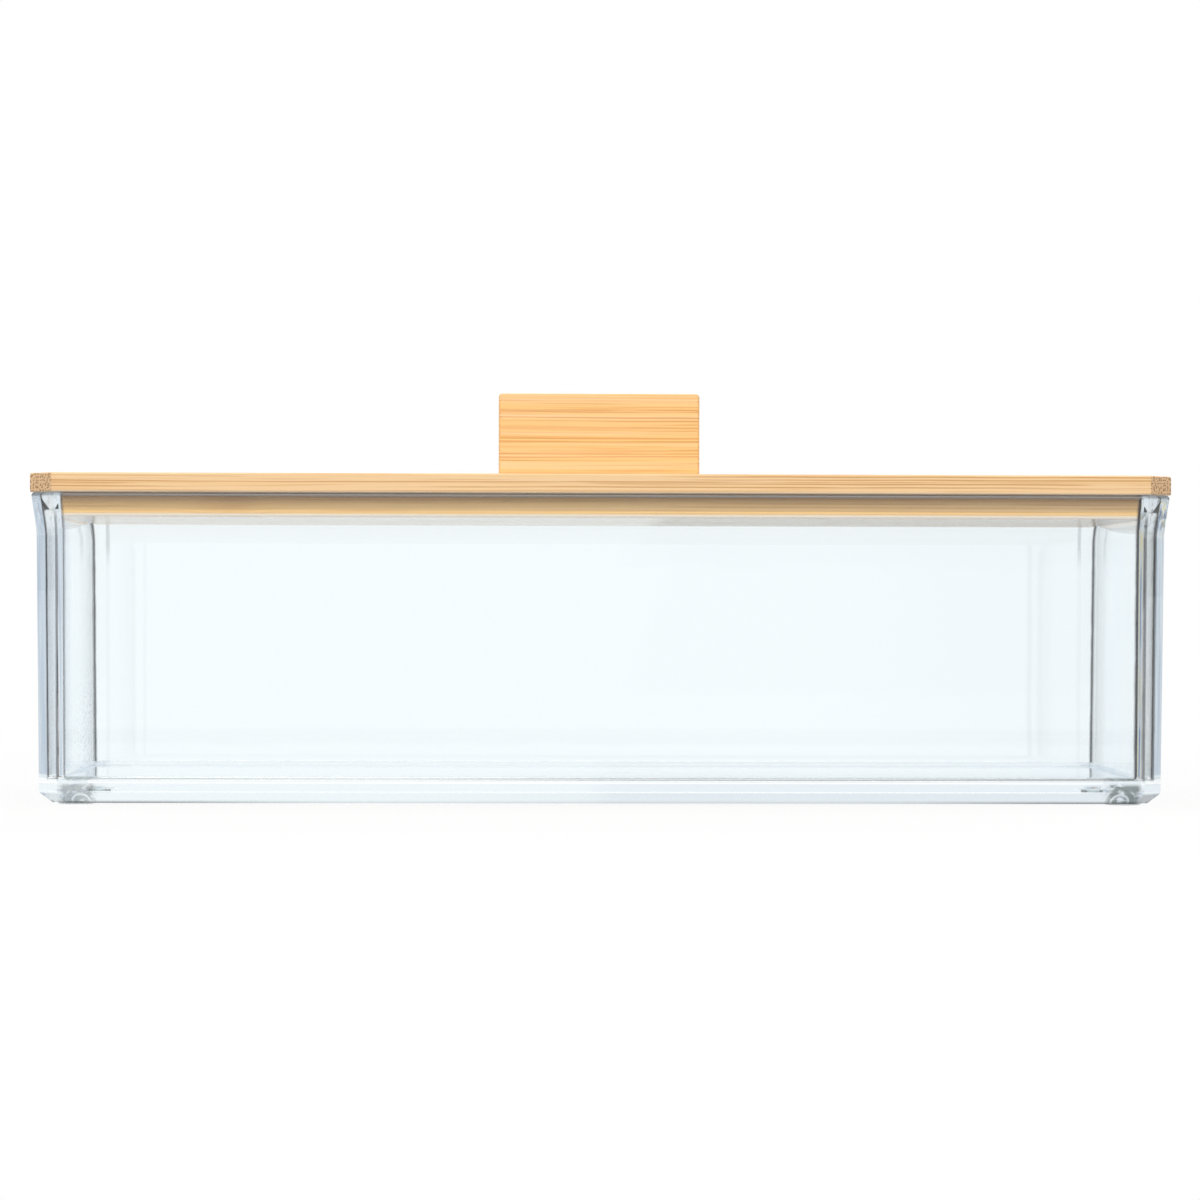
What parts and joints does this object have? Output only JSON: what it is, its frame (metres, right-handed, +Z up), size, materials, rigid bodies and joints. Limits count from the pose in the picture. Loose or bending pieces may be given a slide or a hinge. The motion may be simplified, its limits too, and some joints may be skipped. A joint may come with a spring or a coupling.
{
  "type": "lidded storage box",
  "caption": "Low clear plastic box with clipped corners and a flared mouth, closed by a lift-off bamboo lid with a locating board and an upright tab handle.",
  "frame": {"origin": "centre of the box at the plane that its feet stand on", "axes": "+X along the long side, +Y to the back (the front faces -Y), +Z up out of the mouth"},
  "size_m": [0.25, 0.09, 0.0923],
  "materials": {
    "clear_plastic": "clear, polished moulding with a faint cool tint",
    "soft_foot": "translucent soft pad",
    "bamboo": "pale bamboo, fine sanded and oiled, long dark fibre lines",
    "screw_steel": "zinc-plated steel"
  },
  "bodies": {
    "box": {"box_body": "clear_plastic", "foot_front_left": "soft_foot", "foot_front_right": "soft_foot", "foot_back_left": "soft_foot", "foot_back_right": "soft_foot"},
    "lid": {"lid_board": "bamboo", "lid_plug": "bamboo", "lid_handle": "bamboo", "handle_screw_left": "screw_steel", "handle_screw_right": "screw_steel"}
  },
  "joints": [
    {"name": "lid_lift", "type": "slide", "parent": "box", "child": "lid", "axis": [0, 0, 1], "range_m": [0, 0.06]}
  ]
}
